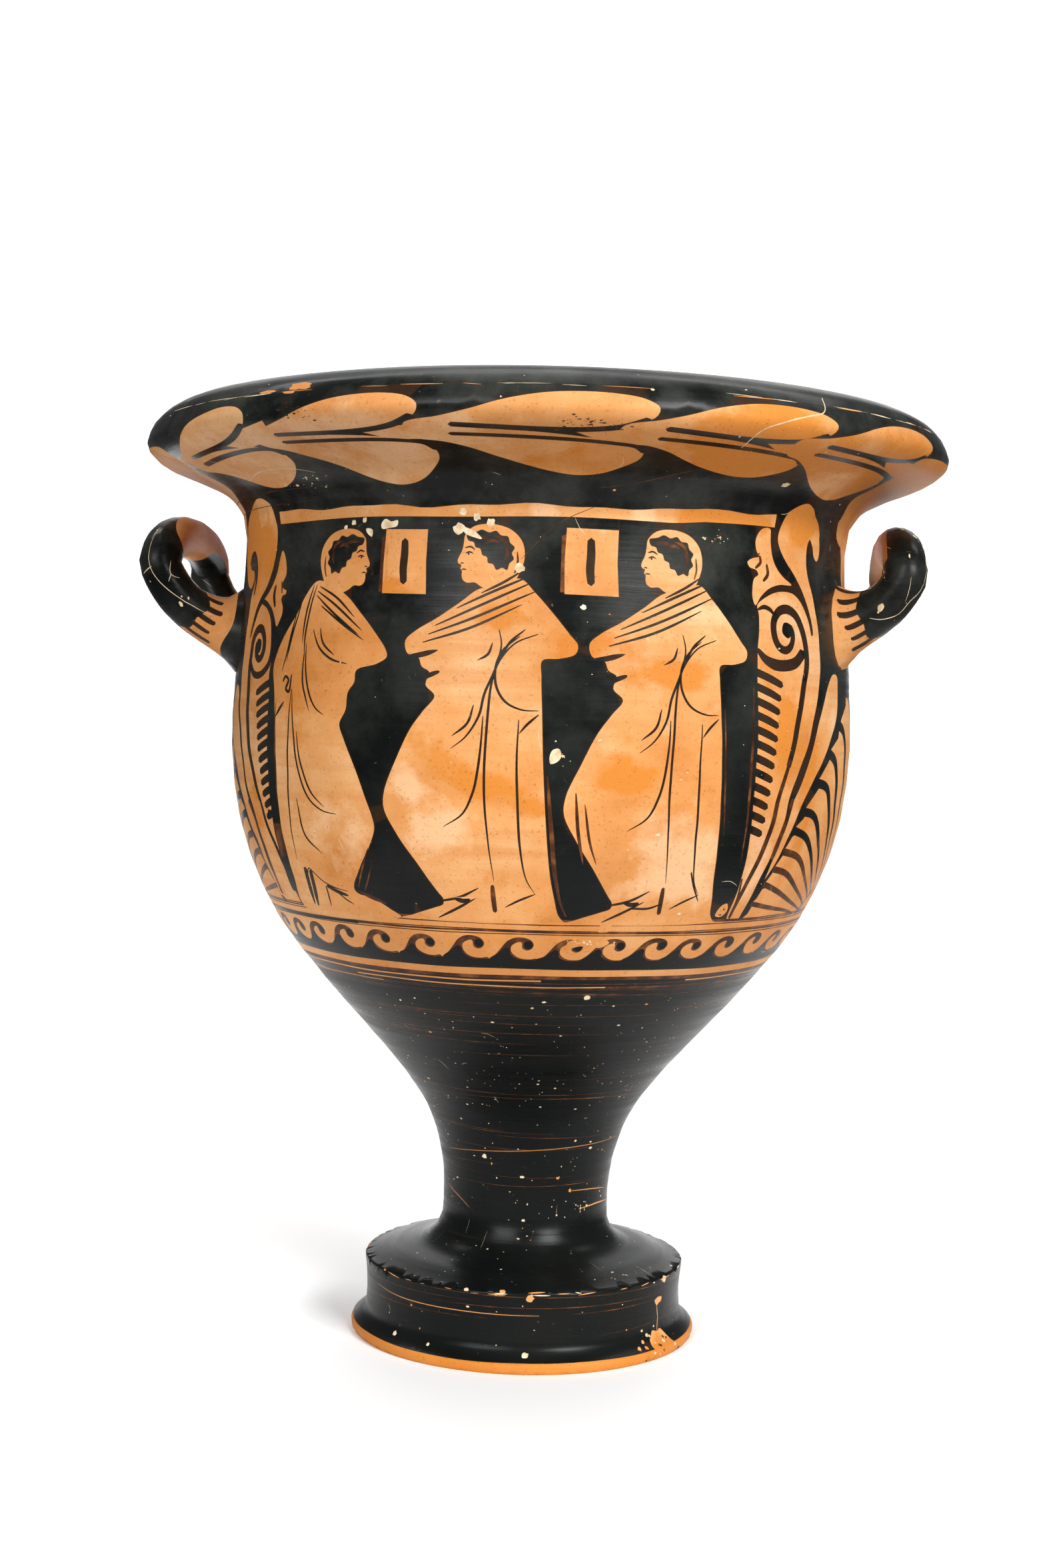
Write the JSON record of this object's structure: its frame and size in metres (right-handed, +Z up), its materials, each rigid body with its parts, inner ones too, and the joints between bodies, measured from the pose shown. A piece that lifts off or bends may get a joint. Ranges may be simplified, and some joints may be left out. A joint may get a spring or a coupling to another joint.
{
  "type": "greek krater",
  "caption": "Wide-mouthed ancient clay mixing bowl on a high foot, with a flaring rim, upturned horseshoe handles and red-figure painting.",
  "frame": {"origin": "bottom centre of the foot, on the vessel's axis, at the level it stands on", "axes": "+Z up the vessel's axis, handles towards +X and -X, painted panel with the figures facing -Y"},
  "size_m": [0.3302, 0.3302, 0.38],
  "materials": {
    "fired_clay": "satin slip over bare fired clay, worn"
  },
  "bodies": {
    "root": {"krater": "fired_clay"}
  },
  "joints": []
}
